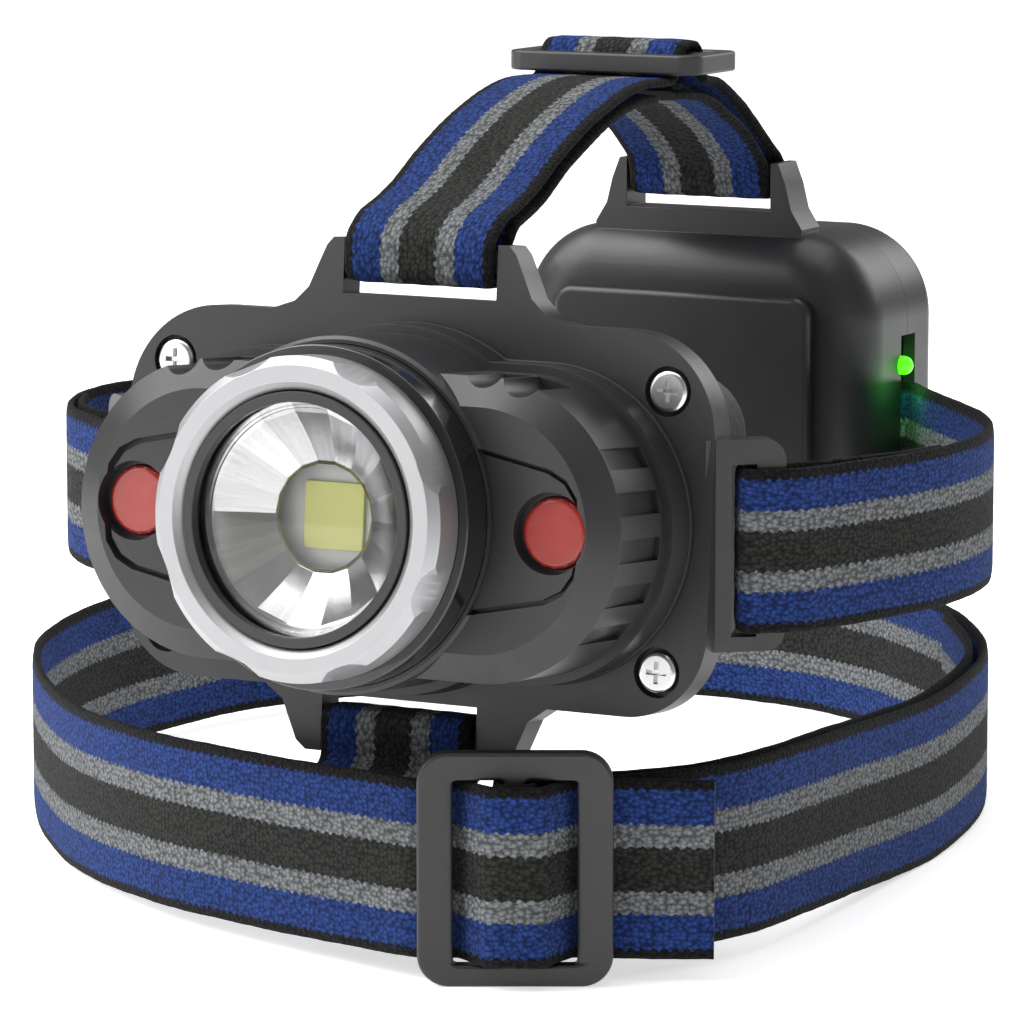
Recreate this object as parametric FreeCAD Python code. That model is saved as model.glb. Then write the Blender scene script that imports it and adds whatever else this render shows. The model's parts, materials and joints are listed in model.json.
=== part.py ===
import FreeCAD, Part
import math
import os
from FreeCAD import Matrix, Vector

# A rechargeable zoom headlamp on striped elastic webbing.
# Lamp frame: origin at the centre of the mounting plate's front face, +X to the right
# of someone facing the lamp, +Y towards the wearer, +Z up.
# Everything is moved at the end so that the origin is the centre of the footprint,
# on the surface that the headlamp stands on.

# ---------------------------------------------------------------- driving sizes
WEB_WIDTH = 24.4
HEAD_BAND_WIDTH = 23.4
LOWER_BAND_WIDTH = 25.8
WEB_THICK = 1.5
LEAN_DEG = 4.73
FLOOR_Z = -62.7
LAMP_FORWARD = 1.5

PLATE_HALF_WIDTH = 48.1
PLATE_TOP = 28.3
PLATE_BOTTOM = -26.6
PLATE_TOP_CORNER = 15.0
PLATE_LOW_CORNER = 12.5
PLATE_THICK = 5.0
LUG_GAP_HALF = 12.6
HANGER_X = -0.8
LUG_BAR_FRONT = 0.6
LUG_BAR_BACK = 3.8

SCREW_X = 40.5
SCREW_Z = 19.9
SCREW_HEAD_R = 3.05
SCREW_SHANK_R = 1.4
COUNTERBORE_R = 3.6
COUNTERBORE_DEPTH = 1.6

DRUM_R = 25.4
WING_HALF_WIDTH = 43.8
WING_HALF_HEIGHT = 21.5
HOUSING_DEPTH = 21.9
HOUSING_WALL = 2.0
FACE_WALL = 4.4
FACE_BEVEL = 4.2
FACE_BEVEL_DEPTH = 2.4
DRUM_FRONT = 22.3
FLANGE_GROW = 1.3
FLANGE_FRONT = 6.0
RIB_DEG = 8.8
RIB_FRONT = 19.3
RIB_BACK = 7.2
PANEL_FACE = 21.3
PANEL_SLEEVE_GAP_R = 24.9
GASKET_THICK = 0.8

LENS_AXIS_Z = 0.64
SLEEVE_R = 24.3
SLEEVE_BORE_R = 24.36
SLEEVE_INNER_R = 21.0
NECK_R = 20.0
NECK_INNER_R = 18.0
SLEEVE_FRONT = 27.9
SLEEVE_REAR = 6.0
NECK_FRONT = 33.0
BEZEL_R = 22.9
BEZEL_FRONT = 34.5
BEZEL_BORE_R = 20.06
BEZEL_LIP_R = 18.1
RETAINER_R = 16.4
ZOOM_TRAVEL = 4.0
BEZEL_SCALLOPS = 8

BUTTON_X = 33.7
BUTTON_Z = 0.45
BUTTON_R = 5.1
BUTTON_HOLE_R = 5.18
BUTTON_FRONT = 20.1
BUTTON_WELL_R = 5.75
BUTTON_TRAVEL = 1.0
GROMMET_R = 2.0
BOX_GROMMET_X = -13.4

BOX_HALF = 30.9
BOX_TOP = 33.0
BOX_BOTTOM = -30.5
BOX_CORNER = 14.0
BOX_FRONT = 88.0
BOX_SEAM = 105.0
BOX_BACK = 116.6
BOX_WALL = 2.0
STRAP_SLOT_FRONT = 102.7
STRAP_SLOT_BACK = 108.0
STRAP_SLOT_TOP = 16.5
STRAP_SLOT_BOTTOM = -16.8
LED_Y = 103.1
LED_Z = 11.8
CELL_R = 9.15
CELL_LENGTH = 50.0
CELL_X = 9.4
CELL_Y = 100.5
CELL_BOTTOM = -23.8

HEAD_BAND_BOTTOM = -14.1
LUG_BASE_X = 48.2
LUG_BASE_Y = 2.4
LUG_ANGLE_DEG = 38.0
LUG_THICK = 3.6
SLIDER_X = 27.35
SLIDER_Y = -21.0
SLIDER_TURN_DEG = 27.8
SLIDER_WIDTH = 27.6
SLIDER_HEIGHT = 33.5
SLIDER_THICK = 3.0
SLIDER_WINDOW = 17.5
SLIDER_WINDOW_LOW = 3.1
SLIDER_WINDOW_HIGH = 29.5
BAND_LIFT = 3.4
BAND_BEND_Y = 60.0

pieces = {}


# ---------------------------------------------------------------- plain shapes
def block(x0, x1, y0, y1, z0, z1):
    return Part.makeBox(x1 - x0, y1 - y0, z1 - z0, Vector(x0, y0, z0))


def rod_y(x, z, radius, y0, y1):
    return Part.makeCylinder(radius, y1 - y0, Vector(x, y0, z), Vector(0, 1, 0))


def rod_x(y, z, radius, x0, x1):
    return Part.makeCylinder(radius, x1 - x0, Vector(x0, y, z), Vector(1, 0, 0))


def rod_z(x, y, radius, z0, z1):
    return Part.makeCylinder(radius, z1 - z0, Vector(x, y, z0))


def ring_y(z, outer, inner, y0, y1):
    return rod_y(0, z, outer, y0, y1).cut(rod_y(0, z, inner, y0 - 1, y1 + 1))


def edges_along_y(shape):
    chosen = []
    for edge in shape.Edges:
        box = edge.BoundBox
        if box.YLength > 1e-3 and box.XLength < 1e-3 and box.ZLength < 1e-3:
            chosen.append(edge)
    return chosen


def edges_at_y(shape, y):
    return [e for e in shape.Edges if abs(e.BoundBox.YMin - y) < 1e-3 and abs(e.BoundBox.YMax - y) < 1e-3]


def slab(x0, x1, z0, z1, corner, y0, y1):
    plain = block(x0, x1, y0, y1, z0, z1)
    return plain.makeFillet(corner, edges_along_y(plain))


def prism_y(outline, y0, y1):
    corners = [Vector(x, y0, z) for x, z in outline]
    face = Part.Face(Part.makePolygon(corners + corners[:1]))
    return face.extrude(Vector(0, y1 - y0, 0))


def mirrored_x(shape):
    return shape.mirror(Vector(0, 0, 0), Vector(1, 0, 0))


def leaned(shape):
    tilted = shape.copy()
    tilted.rotate(Vector(0, 0, 0), Vector(1, 0, 0), -LEAN_DEG)
    tilted.translate(Vector(0, -LAMP_FORWARD, 0))
    return tilted


# ---------------------------------------------------------------- strips of webbing
def unit(u, v):
    size = math.hypot(u, v)
    return u / size, v / size


def shifted(route, side):
    runs = [unit(b[0] - a[0], b[1] - a[1]) for a, b in zip(route, route[1:])]
    first, last = runs[0], runs[-1]
    moved = [(route[0][0] - side * first[1], route[0][1] + side * first[0], 0.0)]
    for (u, v, radius), before, after in zip(route[1:-1], runs, runs[1:]):
        turn = before[0] * after[1] - before[1] * after[0]
        mitre = 1.0 + before[0] * after[0] + before[1] * after[1]
        mu = -(before[1] + after[1]) / mitre
        mv = (before[0] + after[0]) / mitre
        moved.append((u + side * mu, v + side * mv, radius - side * math.copysign(1.0, turn)))
    moved.append((route[-1][0] - side * last[1], route[-1][1] + side * last[0], 0.0))
    return moved


def rounded_run(route, place):
    """Straight runs joined by tangent arcs, from corners (u, v, radius)."""
    edges = []
    start = place(route[0][0], route[0][1])
    for before, corner, after in zip(route, route[1:], route[2:]):
        into = unit(corner[0] - before[0], corner[1] - before[1])
        out = unit(after[0] - corner[0], after[1] - corner[1])
        half_turn = 0.5 * math.acos(max(-1.0, min(1.0, into[0] * out[0] + into[1] * out[1])))
        trim = corner[2] * math.tan(half_turn)
        inward = unit(out[0] - into[0], out[1] - into[1])
        sag = corner[2] / math.cos(half_turn) - corner[2]
        arc_start = place(corner[0] - into[0] * trim, corner[1] - into[1] * trim)
        arc_middle = place(corner[0] + inward[0] * sag, corner[1] + inward[1] * sag)
        arc_end = place(corner[0] + out[0] * trim, corner[1] + out[1] * trim)
        if start.distanceToPoint(arc_start) > 1e-4:
            edges.append(Part.LineSegment(start, arc_start).toShape())
        edges.append(Part.Arc(arc_start, arc_middle, arc_end).toShape())
        start = arc_end
    edges.append(Part.LineSegment(start, place(route[-1][0], route[-1][1])).toShape())
    return edges


def strip(route, thickness, place, across):
    """A flat strip: the route is its middle line, and across is its width vector."""
    left = rounded_run(shifted(route, 0.5 * thickness), place)
    right = rounded_run(shifted(route, -0.5 * thickness), place)
    ends = []
    for near, far in ((left[0], right[0]), (left[-1], right[-1])):
        index = 0 if near is left[0] else -1
        ends.append(Part.LineSegment(near.Vertexes[index].Point, far.Vertexes[index].Point).toShape())
    outline = Part.Wire(Part.__sortEdges__(left + right + ends))
    return Part.Face(outline).extrude(across)


def in_plan(z):
    return lambda u, v: Vector(u, v, z)


def in_profile(x):
    return lambda u, v: Vector(x, u, v)


# ---------------------------------------------------------------- lamp: plate
def housing_outline(grow, y0, y1):
    radius = WING_HALF_HEIGHT + grow
    reach = WING_HALF_WIDTH - WING_HALF_HEIGHT
    drum = rod_y(0, LENS_AXIS_Z, DRUM_R + grow, y0, y1)
    wing = block(-reach, reach, y0, y1, -radius, radius)
    ends = [rod_y(side * reach, 0, radius, y0, y1) for side in (-1, 1)]
    return drum.fuse([wing] + ends).removeSplitter()


def screw_places():
    return [(sx * SCREW_X, sz * SCREW_Z) for sx in (-1, 1) for sz in (-1, 1)]


def side_lug():
    """A slotted ear that runs out and back from the plate's right edge."""
    thick = LUG_THICK
    ear = block(-3.0, 8.6, -0.5 * thick, 0.5 * thick, -16.8, 13.4)
    tips = [e for e in edges_along_y(ear) if e.BoundBox.XMin > 1.0]
    ear = ear.makeFillet(3.0, tips)
    ear = ear.cut(block(0.8, 4.4, -thick, thick, -14.7, 9.9))
    ear.rotate(Vector(0, 0, 0), Vector(0, 0, 1), LUG_ANGLE_DEG)
    ear.translate(Vector(LUG_BASE_X, LUG_BASE_Y, 0))
    return ear


def front_plate():
    body = block(-PLATE_HALF_WIDTH, PLATE_HALF_WIDTH, 0, PLATE_THICK, PLATE_BOTTOM, PLATE_TOP)
    body = body.makeFillet(PLATE_TOP_CORNER, [e for e in edges_along_y(body) if e.BoundBox.ZMin > 0])
    body = body.makeFillet(PLATE_LOW_CORNER, [e for e in edges_along_y(body) if e.BoundBox.ZMax < 0])
    top_side = [(24.5, 27.0), (24.5, 28.3), (20.6, 29.6), (18.3, 31.8), (16.8, 35.2), (15.5, 38.0), (14.4, 39.2)]
    bottom_side = [(23.3, -26.0), (23.3, -26.6), (20.3, -28.7), (17.8, -34.5), (16.2, -35.8)]
    for side in (top_side, bottom_side):
        body = body.fuse(prism_y(side + [(-x, z) for x, z in reversed(side)], 0, PLATE_THICK))
    gap = LUG_GAP_HALF
    body = body.cut(block(-gap, gap, -1, 9, 31.1, 35.0))
    body = body.cut(block(-gap, gap, -1, LUG_BAR_FRONT, 31.1, 41.0))
    body = body.cut(block(-gap, gap, LUG_BAR_BACK, 9, 31.1, 41.0))
    body = body.cut(block(-gap, gap, -1, 9, 38.3, 41.0))
    left, right = HANGER_X - gap - 0.2, HANGER_X + gap + 0.2
    body = body.cut(block(left, right, -1, 9, -31.1, -27.3))
    body = body.cut(block(left, right, -1, LUG_BAR_FRONT, -37.0, -27.3))
    body = body.cut(block(left, right, LUG_BAR_BACK, 9, -37.0, -27.3))
    body = body.cut(block(left, right, -1, 9, -37.0, -35.2))
    body = body.cut(housing_outline(-HOUSING_WALL + 0.1, -1, PLATE_THICK + 1))
    for x, z in screw_places():
        body = body.cut(rod_y(x, z, SCREW_SHANK_R + 0.15, -1, PLATE_THICK + 1))
        body = body.cut(rod_y(x, z, COUNTERBORE_R, -1, COUNTERBORE_DEPTH))
    body = leaned(body)
    ear = side_lug()
    return body.fuse([ear, mirrored_x(ear)]).removeSplitter()


def cross_recess(x, z, y, size):
    arms = block(x - size, x + size, y - 1, y + 0.9, z - 0.35, z + 0.35)
    return arms.fuse(block(x - 0.35, x + 0.35, y - 1, y + 0.9, z - size, z + size))


def plate_screws():
    screws = []
    for x, z in screw_places():
        head = rod_y(x, z, SCREW_HEAD_R, -0.2, COUNTERBORE_DEPTH)
        head = head.makeFillet(0.7, edges_at_y(head, -0.2))
        shank = rod_y(x, z, SCREW_SHANK_R, COUNTERBORE_DEPTH, 11.0)
        screws.append(head.fuse(shank).cut(cross_recess(x, z, -0.2, 1.6)))
    return leaned(Part.makeCompound(screws))


# ---------------------------------------------------------------- lamp: housing
def housing_gasket():
    ring = housing_outline(1.6, -GASKET_THICK, 0)
    return leaned(ring.cut(housing_outline(-HOUSING_WALL, -2, 1)))


def wing_outline(grow, y0, y1):
    radius = WING_HALF_HEIGHT + grow
    reach = WING_HALF_WIDTH - WING_HALF_HEIGHT
    wing = block(-reach, reach, y0, y1, -radius, radius)
    ends = [rod_y(side * reach, 0, radius, y0, y1) for side in (-1, 1)]
    return wing.fuse(ends).removeSplitter()


def panel_form(inset, y0, y1):
    """The trapezoid round a button, on the right wing."""
    half = [(33.5, 9.4), (36.2, 8.0), (37.9, 5.6), (38.3, 2.5)]
    half = [(20.0, 12.1)] + half
    outline = [(x - inset, z - inset) for x, z in half]
    outline += [(x - inset, inset - z) for x, z in reversed(half)]
    return prism_y(outline, y0, y1)


def panel_recess():
    """A shallow panel with a fine groove along its edge, and a well round the button."""
    groove = panel_form(0, -HOUSING_DEPTH - 1, -PANEL_FACE + 1.1)
    groove = groove.cut(panel_form(0.6, -PANEL_FACE, 0))
    groove = groove.cut(rod_y(0, LENS_AXIS_Z, PANEL_SLEEVE_GAP_R, -HOUSING_DEPTH - 2, 0))
    return groove.fuse(rod_y(BUTTON_X, BUTTON_Z, BUTTON_WELL_R, -PANEL_FACE - 1, -PANEL_FACE + 2.2))


def wing_ribs():
    """Shallow flats cut across the round end of the right wing, deeper towards the plate."""
    reach = WING_HALF_WIDTH - WING_HALF_HEIGHT
    radius = WING_HALF_HEIGHT
    ramp = [(radius - 0.15, -RIB_FRONT), (radius - 1.0, -RIB_BACK), (radius + 3, -RIB_BACK), (radius + 3, -RIB_FRONT)]
    corners = [Vector(x, y, -1.64) for x, y in ramp]
    cuts = []
    for index in range(5):
        flat = Part.Face(Part.makePolygon(corners + corners[:1])).extrude(Vector(0, 0, 3.28))
        flat.rotate(Vector(0, 0, 0), Vector(0, 1, 0), -(31.0 - 2 * RIB_DEG * index))
        flat.translate(Vector(reach, 0, 0))
        cuts.append(flat)
    return cuts


def wing_notches():
    places = ((21.6, 22.9), (27.6, 21.9))
    return [rod_y(x, z, 3.0, -HOUSING_DEPTH, -9.0) for x, z in places]


def lamp_housing():
    shell = wing_outline(0, -HOUSING_DEPTH, -GASKET_THICK)
    shell = shell.makeChamfer(FACE_BEVEL_DEPTH, FACE_BEVEL, edges_at_y(shell, -HOUSING_DEPTH))
    drum = rod_y(0, LENS_AXIS_Z, DRUM_R, -DRUM_FRONT, -GASKET_THICK)
    drum = drum.makeChamfer(0.5, edges_at_y(drum, -DRUM_FRONT))
    flange = housing_outline(FLANGE_GROW, -FLANGE_FRONT, -GASKET_THICK)
    for cut in wing_ribs() + wing_notches():
        shell = shell.cut(cut).cut(mirrored_x(cut))
    skirt = housing_outline(-HOUSING_WALL, -GASKET_THICK, PLATE_THICK)
    shell = shell.fuse([drum, flange, skirt])
    tube = rod_y(0, LENS_AXIS_Z, DRUM_R, -HOUSING_DEPTH, PLATE_THICK)
    cavity = housing_outline(-HOUSING_WALL - 1.4, -HOUSING_DEPTH + FACE_WALL, PLATE_THICK + 1)
    shell = shell.cut(cavity.cut(tube))
    shell = shell.cut(rod_y(0, LENS_AXIS_Z, SLEEVE_BORE_R, -DRUM_FRONT - 1, PLATE_THICK + 1))
    pocket = panel_recess()
    shell = shell.cut(pocket).cut(mirrored_x(pocket))
    for side in (-1, 1):
        shell = shell.cut(rod_y(side * BUTTON_X, BUTTON_Z, BUTTON_HOLE_R, -HOUSING_DEPTH - 1, -15.0))
    return leaned(shell.removeSplitter())


def button(side):
    x = side * BUTTON_X
    cap = rod_y(x, BUTTON_Z, BUTTON_R, -BUTTON_FRONT, -17.2)
    cap = cap.makeChamfer(0.5, edges_at_y(cap, -BUTTON_FRONT))
    flange = rod_y(x, BUTTON_Z, 6.0, -17.2, -16.0)
    stem = rod_y(x, BUTTON_Z, 1.9, -16.0, -12.6)
    return leaned(cap.fuse([flange, stem]).removeSplitter())


def switch(side):
    x = side * BUTTON_X
    body = block(x - 3, x + 3, -10.1, -7.2, -3, 3)
    plunger = rod_y(x, BUTTON_Z, 1.7, -12.6 + BUTTON_TRAVEL + 0.1, -10.1)
    return leaned(body.fuse(plunger))


def switch_boards():
    boards = [block(27.2, 38.2, -7.2, -6.0, -5.4, 5.4)]
    boards.append(mirrored_x(boards[0]))
    return leaned(Part.makeCompound(boards))


def lamp_back_cover():
    outer = slab(-44.2, 44.2, -25.0, 25.6, 10.0, PLATE_THICK, 13.0)
    outer = outer.makeFillet(2.0, edges_at_y(outer, 13.0))
    inner = slab(-42.2, 42.2, -23.0, 23.6, 8.0, PLATE_THICK - 1, 11.0)
    bosses = [rod_y(x, z, 3.2, PLATE_THICK, 11.5) for x, z in screw_places()]
    cover = outer.cut(inner).fuse([boss.common(outer) for boss in bosses])
    for x, z in screw_places():
        cover = cover.cut(rod_y(x, z, SCREW_SHANK_R + 0.02, PLATE_THICK - 1, 11.2))
    cover = cover.cut(rod_z(-28.0, 8.1, GROMMET_R, -26.0, -21.0))
    return leaned(cover.removeSplitter())


def lead_grommet(x, y, wall_low, wall_high):
    """A rubber bush through a wall that faces down."""
    body = rod_z(x, y, GROMMET_R, wall_low, wall_high)
    rim = GROMMET_R + 0.8
    rims = [rod_z(x, y, rim, wall_low - 1.0, wall_low), rod_z(x, y, rim, wall_high, wall_high + 0.8)]
    return body.fuse(rims).removeSplitter().cut(rod_z(x, y, 1.3, wall_low - 2, wall_high + 2))


def forehead_pad():
    foam = slab(-42.0, 42.0, -21.0, 21.6, 9.0, 13.0, 24.0)
    hollow_r = 95.0
    hollow = rod_z(0, 16.5 + hollow_r, hollow_r, -40, 40)
    return leaned(foam.cut(hollow))


# ---------------------------------------------------------------- lamp: optics
def focus_sleeve():
    z = LENS_AXIS_Z
    wall = ring_y(z, SLEEVE_R, SLEEVE_INNER_R, -SLEEVE_FRONT, -SLEEVE_REAR)
    front = ring_y(z, SLEEVE_R, NECK_INNER_R, -SLEEVE_FRONT, -SLEEVE_FRONT + 1.5)
    rim = [edge for edge in edges_at_y(front, -SLEEVE_FRONT) if edge.BoundBox.XLength > 2 * SLEEVE_R - 0.1]
    front = front.makeChamfer(0.6, rim)
    neck = ring_y(z, NECK_R, NECK_INNER_R, -NECK_FRONT, -SLEEVE_FRONT)
    ledge = ring_y(z, NECK_INNER_R, 17.0, -29.2, -28.2)
    groove = ring_y(z, SLEEVE_R + 1, 22.8, -17.9, -16.1)
    return leaned(wall.fuse([front, neck, ledge]).cut(groove).removeSplitter())


def sleeve_seal():
    seal = Part.makeTorus(23.55, 0.72, Vector(0, -17.0, LENS_AXIS_Z), Vector(0, 1, 0))
    return leaned(seal)


def bezel_ring():
    z = LENS_AXIS_Z
    body = rod_y(0, z, BEZEL_R, -BEZEL_FRONT, -SLEEVE_FRONT - 0.1)
    body = body.makeChamfer(1.3, edges_at_y(body, -BEZEL_FRONT))
    body = body.cut(rod_y(0, z, BEZEL_BORE_R, -NECK_FRONT - 0.1, 0))
    body = body.cut(rod_y(0, z, BEZEL_LIP_R, -BEZEL_FRONT - 1, 0))
    throat = Part.makeCone(19.3, BEZEL_LIP_R - 0.1, 1.3, Vector(0, -BEZEL_FRONT, z), Vector(0, 1, 0))
    body = body.cut(throat)
    scoop_r = 14.0
    for index in range(BEZEL_SCALLOPS):
        angle = 360.0 * (index + 0.5) / BEZEL_SCALLOPS
        cutter = rod_y(BEZEL_R - 1.4 + scoop_r, 0, scoop_r, -6.0, 9.0)
        cutter.rotate(Vector(BEZEL_R - 1.4, 0, 0), Vector(0, 0, 1), -20.0)
        cutter.translate(Vector(0, -BEZEL_FRONT, z))
        cutter.rotate(Vector(0, 0, z), Vector(0, 1, 0), angle)
        body = body.cut(cutter)
    return leaned(body)


def lens_retainer():
    return leaned(ring_y(LENS_AXIS_Z, 17.95, RETAINER_R, -33.9, -32.6))


def lens_seal():
    return leaned(ring_y(LENS_AXIS_Z, 17.7, 16.6, -32.6, -32.0))


def front_lens():
    return leaned(rod_y(0, LENS_AXIS_Z, 17.8, -32.0, -30.5))


def reflector():
    """A bowl: its section is an arc, thickened outwards, with a rim at the front."""
    def ray(radius, y):
        return Vector(radius, y, LENS_AXIS_Z)

    inner = Part.Arc(ray(7.3, -24.5), ray(12.9, -27.5), ray(16.4, -30.2)).toShape()
    outer = Part.Arc(ray(17.0, -29.2), ray(13.6, -26.8), ray(8.0, -24.5)).toShape()
    runs = [(16.4, -30.2, 17.9, -30.2), (17.9, -30.2, 17.9, -29.2)]
    runs += [(17.9, -29.2, 17.0, -29.2), (8.0, -24.5, 7.3, -24.5)]
    lines = [Part.LineSegment(ray(a, b), ray(c, d)).toShape() for a, b, c, d in runs]
    section = Part.Face(Part.Wire(Part.__sortEdges__([inner, outer] + lines)))
    return leaned(section.revolve(Vector(0, 0, LENS_AXIS_Z), Vector(0, 1, 0), 360))


def led_board():
    return leaned(rod_y(0, LENS_AXIS_Z, 10.5, -20.2, -18.7))


def led_emitter():
    return leaned(rod_y(0, LENS_AXIS_Z, 9.6, -21.3, -20.2))


def led_phosphor():
    z = LENS_AXIS_Z
    return leaned(slab(-4.8, 4.8, z - 4.8, z + 4.8, 0.6, -22.0, -21.3))


def heatsink():
    z = LENS_AXIS_Z
    hub = rod_y(0, z, 11.0, -18.7, 2.0)
    foot = rod_y(0, z, 23.2, 2.0, PLATE_THICK)
    fins = [rod_y(0, z, 19.5, y, y + 1.2) for y in (-14.0, -10.5, -7.0, -3.5)]
    return leaned(hub.fuse([foot] + fins).removeSplitter())


def driver_board():
    board = block(-30.0, 30.0, 5.6, 7.2, -15.0, 15.0)
    chips = [block(-24.0, -17.0, 7.2, 10.4, -6.0, 1.0), block(4.0, 10.0, 7.2, 8.6, -3.0, 3.0)]
    chips += [rod_y(-8.0, 4.0, 3.0, 7.2, 10.6), block(16.0, 21.0, 7.2, 9.0, 2.0, 9.0)]
    return leaned(board.fuse(chips).removeSplitter())


# ---------------------------------------------------------------- battery box
def box_form(grow, y0, y1):
    corner = max(BOX_CORNER + grow, 2.0)
    return slab(-BOX_HALF - grow, BOX_HALF + grow, BOX_BOTTOM - grow, BOX_TOP + grow, corner, y0, y1)


def strap_slots():
    slots = []
    for side in (-1, 1):
        x0, x1 = sorted((side * (BOX_HALF + 2), side * (BOX_HALF - BOX_WALL - 1)))
        slots.append(block(x0, x1, STRAP_SLOT_FRONT, STRAP_SLOT_BACK, STRAP_SLOT_BOTTOM, STRAP_SLOT_TOP))
    return Part.makeCompound(slots)


def box_screw_places():
    return [(side * 24.3, z) for side in (-1, 1) for z in (-23.1, 25.6)]


def box_lug():
    side = [(18.1, 31.0), (18.1, 33.5), (16.2, 36.5), (15.2, 40.5), (13.9, 43.8)]
    lug = prism_y(side + [(-x, z) for x, z in reversed(side)], 92.6, 99.4)
    gap = LUG_GAP_HALF
    lug = lug.cut(block(-gap, gap, 90, 102, 36.0, 40.0))
    lug = lug.cut(block(-gap, gap, 90, 94.8, 36.0, 46.0))
    lug = lug.cut(block(-gap, gap, 97.6, 102, 36.0, 46.0))
    return lug.cut(block(-gap, gap, 90, 102, 43.2, 46.0))


def box_inner_shell():
    shell = box_form(0, BOX_FRONT, BOX_SEAM)
    shell = shell.makeFillet(8.0, edges_at_y(shell, BOX_FRONT))
    cavity = box_form(-BOX_WALL, BOX_FRONT + BOX_WALL, BOX_SEAM + 1)
    cavity = cavity.makeFillet(6.0, edges_at_y(cavity, BOX_FRONT + BOX_WALL))
    shell = shell.cut(cavity)
    bosses = [rod_y(x, z, 2.9, 97.0, BOX_SEAM) for x, z in box_screw_places()]
    shell = shell.fuse([box_lug().cut(cavity)] + bosses)
    for x, z in box_screw_places():
        shell = shell.cut(rod_y(x, z, SCREW_SHANK_R + 0.02, 99.0, BOX_SEAM + 1))
    shell = shell.cut(strap_slots())
    shell = shell.cut(rod_x(LED_Y, LED_Z, 1.7, BOX_HALF - BOX_WALL - 1, BOX_HALF + 1))
    shell = shell.cut(rod_z(BOX_GROMMET_X, 100.0, GROMMET_R, BOX_BOTTOM - 1, BOX_BOTTOM + 4))
    return shell.removeSplitter()


def box_outer_shell():
    shell = box_form(0, BOX_SEAM, BOX_BACK)
    shell = shell.makeFillet(4.0, edges_at_y(shell, BOX_BACK))
    shell = shell.cut(box_form(-BOX_WALL, BOX_SEAM - 1, BOX_BACK - BOX_WALL))
    bosses = [rod_y(x, z, 2.9, BOX_SEAM, BOX_BACK - 1) for x, z in box_screw_places()]
    ears = [rod_x(115.5, -31.8, 1.3, x, x + 1.4) for x in (-7.6, 6.2)]
    ears += [block(x, x + 1.4, 113.6, 116.2, -31.8, BOX_BOTTOM + 2.5) for x in (-7.6, 6.2)]
    shell = shell.fuse(bosses + ears)
    for x, z in box_screw_places():
        shell = shell.cut(rod_y(x, z, SCREW_SHANK_R + 0.15, BOX_SEAM - 1, BOX_BACK + 1))
        shell = shell.cut(rod_y(x, z, 2.6, BOX_BACK - 1.8, BOX_BACK + 1))
    shell = shell.cut(strap_slots())
    shell = shell.cut(block(-5.0, 5.0, 109.0, 113.4, BOX_BOTTOM - 1, BOX_BOTTOM + 3))
    shell = shell.cut(rod_x(115.5, -31.8, 0.55, -9.0, 9.0))
    return shell.removeSplitter()


def box_screws():
    screws = []
    for x, z in box_screw_places():
        head = rod_y(x, z, 2.3, BOX_BACK - 1.8, BOX_BACK - 0.2)
        shank = rod_y(x, z, SCREW_SHANK_R, 100.0, BOX_BACK - 1.8)
        recess = block(x - 1.2, x + 1.2, BOX_BACK - 1.0, BOX_BACK, z - 0.35, z + 0.35)
        recess = recess.fuse(block(x - 0.35, x + 0.35, BOX_BACK - 1.0, BOX_BACK, z - 1.2, z + 1.2))
        screws.append(head.fuse(shank).cut(recess))
    return Part.makeCompound(screws)


def rear_head_pad():
    pad = slab(-22.4, 22.4, -21.0, 23.5, 3.0, BOX_FRONT - 2.0, BOX_FRONT)
    return pad.makeFillet(1.0, edges_at_y(pad, BOX_FRONT - 2.0))


def battery_cell(x):
    can = rod_z(x, CELL_Y, CELL_R, CELL_BOTTOM, CELL_BOTTOM + CELL_LENGTH - 1.2)
    button_top = CELL_BOTTOM + CELL_LENGTH
    return can.fuse(rod_z(x, CELL_Y, 2.9, button_top - 1.2, button_top))


def cell_holder():
    tray = block(-20.0, 20.0, 91.0, 104.6, -25.6, 27.8)
    for x in (-CELL_X, CELL_X):
        tray = tray.cut(rod_z(x, CELL_Y, CELL_R + 0.15, -24.2, 26.4))
    tray = tray.cut(block(-18.55, 18.55, CELL_Y, 110, -24.2, 26.4))
    return tray.cut(block(-16.0, 16.0, 91.5, 110, -24.2, 26.4)).removeSplitter()


def contact_plates():
    return Part.makeCompound([block(x - 5, x + 5, 97.5, 103.5, 26.2, 26.4) for x in (-CELL_X, CELL_X)])


def contact_springs():
    springs = []
    for x in (-CELL_X, CELL_X):
        springs.append(block(x - 4, x + 4, 98.0, 103.0, -24.15, -23.85))
    return Part.makeCompound(springs)


def charge_board():
    board = block(-21.0, 21.0, 112.9, 114.3, -26.5, 18.0)
    chips = [block(-14.0, -8.0, 110.9, 112.9, -14.0, -8.0), block(8.0, 12.0, 111.5, 112.9, 0.0, 5.0)]
    return board.fuse(chips).removeSplitter()


def usb_socket():
    """A metal receptacle whose mouth faces down, with its contact tongue."""
    body = block(-4.5, 4.5, 109.5, 112.9, -28.4, -21.2)
    upright = [e for e in body.Edges if e.BoundBox.ZLength > 5]
    body = body.makeFillet(1.4, upright)
    mouth = block(-4.1, 4.1, 109.9, 112.5, -29.0, -22.4)
    upright = [e for e in mouth.Edges if e.BoundBox.ZLength > 5]
    mouth = mouth.makeFillet(1.1, upright)
    tongue = block(-3.3, 3.3, 110.85, 111.55, -27.4, -22.0)
    return body.cut(mouth).fuse(tongue).removeSplitter()


def port_flap():
    plate = block(-6.0, 6.0, 107.9, 115.5, -32.2, -30.8)
    knuckle = rod_x(115.5, -31.8, 1.05, -6.0, 6.0)
    plug = block(-4.2, 4.2, 110.2, 112.2, -30.8, -29.6)
    return plate.fuse([knuckle, plug]).cut(rod_x(115.5, -31.8, 0.55, -7.0, 7.0)).removeSplitter()


def flap_pin():
    return rod_x(115.5, -31.8, 0.5, -7.6, 7.6)


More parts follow.
